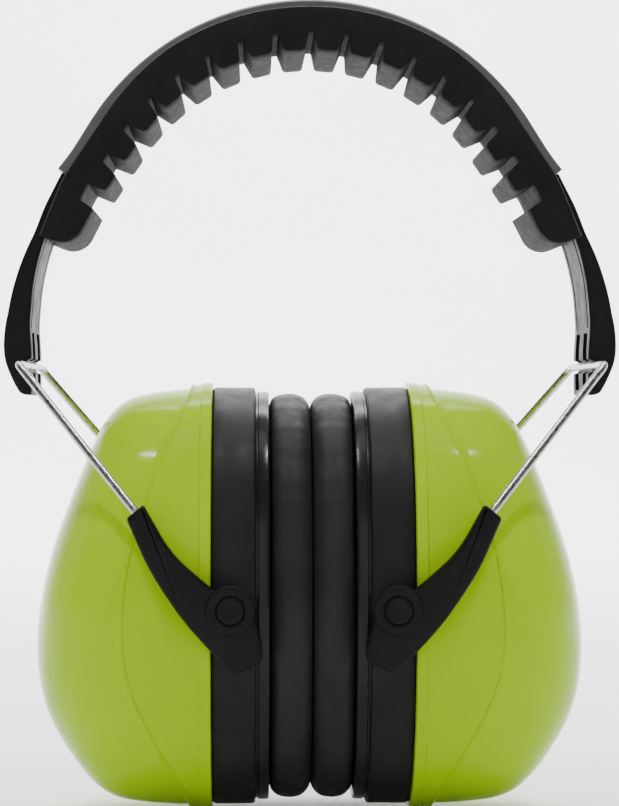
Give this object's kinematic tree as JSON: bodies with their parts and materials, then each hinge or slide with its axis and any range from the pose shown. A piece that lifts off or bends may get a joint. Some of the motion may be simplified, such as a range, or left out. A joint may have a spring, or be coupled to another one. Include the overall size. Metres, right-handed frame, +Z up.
{
  "type": "earmuff hearing protector",
  "caption": "Folding earmuff: two domed cups with soft ring cushions, hung on bent wire stirrups from telescopic arms in a ribbed, padded headband.",
  "frame": {"origin": "the point under the crown where the head pad rests on the wearer's head", "axes": "+Z up, +X from the left cup to the right cup, +Y from the front of the object to its back"},
  "size_m": [0.1496, 0.0978, 0.1994],
  "materials": {
    "band_cover": "satin black plastic",
    "spring_steel": "bright spring steel",
    "pad_foam": "matte black soft foam skin",
    "arm_plastic": "satin black plastic",
    "wire_steel": "bright drawn wire",
    "holder_plastic": "matte black plastic",
    "base_plastic": "matte black plastic",
    "plate_plastic": "glossy black plastic",
    "shell_plastic": "glossy lime green plastic",
    "cushion_skin": "soft matte black skin over foam",
    "foam": "open-cell charcoal foam"
  },
  "bodies": {
    "root": {"headband_cover": "band_cover", "leaf_spring": "spring_steel", "headband_pad": "pad_foam"},
    "left_mid_band": {"leaf_spacer_left": "holder_plastic"},
    "left_band_end": {"slider_clip_left": "spring_steel"},
    "left_arm": {"arm_left": "arm_plastic"},
    "left_stirrup": {"wire_stirrup_left": "wire_steel", "pivot_holder_front_left": "holder_plastic", "pivot_holder_back_left": "holder_plastic"},
    "left_cup": {"pivot_pin_front_left": "holder_plastic", "pivot_pin_back_left": "holder_plastic", "cup_base_left": "base_plastic", "cup_shell_left": "shell_plastic", "cushion_plate_left": "plate_plastic", "ear_cushion_left": "cushion_skin", "acoustic_foam_left": "foam", "foam_disc_left": "foam"},
    "right_mid_band": {"leaf_spacer_right": "holder_plastic"},
    "right_band_end": {"slider_clip_right": "spring_steel"},
    "right_arm": {"arm_right": "arm_plastic"},
    "right_stirrup": {"wire_stirrup_right": "wire_steel", "pivot_holder_front_right": "holder_plastic", "pivot_holder_back_right": "holder_plastic"},
    "right_cup": {"pivot_pin_front_right": "holder_plastic", "pivot_pin_back_right": "holder_plastic", "cup_base_right": "base_plastic", "cup_shell_right": "shell_plastic", "cushion_plate_right": "plate_plastic", "ear_cushion_right": "cushion_skin", "acoustic_foam_right": "foam", "foam_disc_right": "foam"}
  },
  "joints": [
    {"name": "left_band_spread", "type": "hinge", "parent": "root", "child": "left_mid_band", "pos_m": [-0.0099, 0, 0.00908], "axis": [0, 1, 0], "range_deg": [0, 22], "stiffness_Nm_per_rad": 4, "springref_deg": -2.86, "deforming": ["headband_cover", "leaf_spring", "headband_pad"]},
    {"name": "left_shoulder_flex", "type": "hinge", "parent": "left_mid_band", "child": "left_band_end", "pos_m": [-0.03179, 0, 0.00078], "axis": [0, 1, 0], "range_deg": [0, 28], "deforming": ["headband_cover", "leaf_spring", "headband_pad"]},
    {"name": "left_arm_slide", "type": "slide", "parent": "left_band_end", "child": "left_arm", "axis": [-0.5878, 0, -0.809], "range_m": [0, 0.022]},
    {"name": "left_stirrup_fold", "type": "hinge", "parent": "left_arm", "child": "left_stirrup", "pos_m": [-0.0696, 0, -0.0763], "axis": [0, -1, 0], "range_deg": [0, 63]},
    {"name": "left_cup_level", "type": "hinge", "parent": "left_stirrup", "child": "left_cup", "pos_m": [-0.0194, 0, -0.1331], "axis": [0, 1, 0], "range_deg": [0, 36]},
    {"name": "right_band_spread", "type": "hinge", "parent": "root", "child": "right_mid_band", "pos_m": [0.0099, 0, 0.00908], "axis": [0, -1, 0], "range_deg": [0, 22], "stiffness_Nm_per_rad": 4, "springref_deg": -2.86, "deforming": ["headband_cover", "leaf_spring", "headband_pad"]},
    {"name": "right_shoulder_flex", "type": "hinge", "parent": "right_mid_band", "child": "right_band_end", "pos_m": [0.03179, 0, 0.00078], "axis": [0, -1, 0], "range_deg": [0, 28], "deforming": ["headband_cover", "leaf_spring", "headband_pad"]},
    {"name": "right_arm_slide", "type": "slide", "parent": "right_band_end", "child": "right_arm", "axis": [0.5878, 0, -0.809], "range_m": [0, 0.022]},
    {"name": "right_stirrup_fold", "type": "hinge", "parent": "right_arm", "child": "right_stirrup", "pos_m": [0.0696, 0, -0.0763], "axis": [0, 1, 0], "range_deg": [0, 63]},
    {"name": "right_cup_level", "type": "hinge", "parent": "right_stirrup", "child": "right_cup", "pos_m": [0.0194, 0, -0.1331], "axis": [0, -1, 0], "range_deg": [0, 36]}
  ],
  "couplings": [
    {"joint": "right_stirrup_fold", "follows": "left_stirrup_fold", "ratio": 1},
    {"joint": "left_shoulder_flex", "follows": "left_stirrup_fold", "ratio": 0.44},
    {"joint": "left_cup_level", "follows": "left_stirrup_fold", "ratio": 0.56},
    {"joint": "right_shoulder_flex", "follows": "left_stirrup_fold", "ratio": 0.44},
    {"joint": "right_cup_level", "follows": "left_stirrup_fold", "ratio": 0.56}
  ]
}
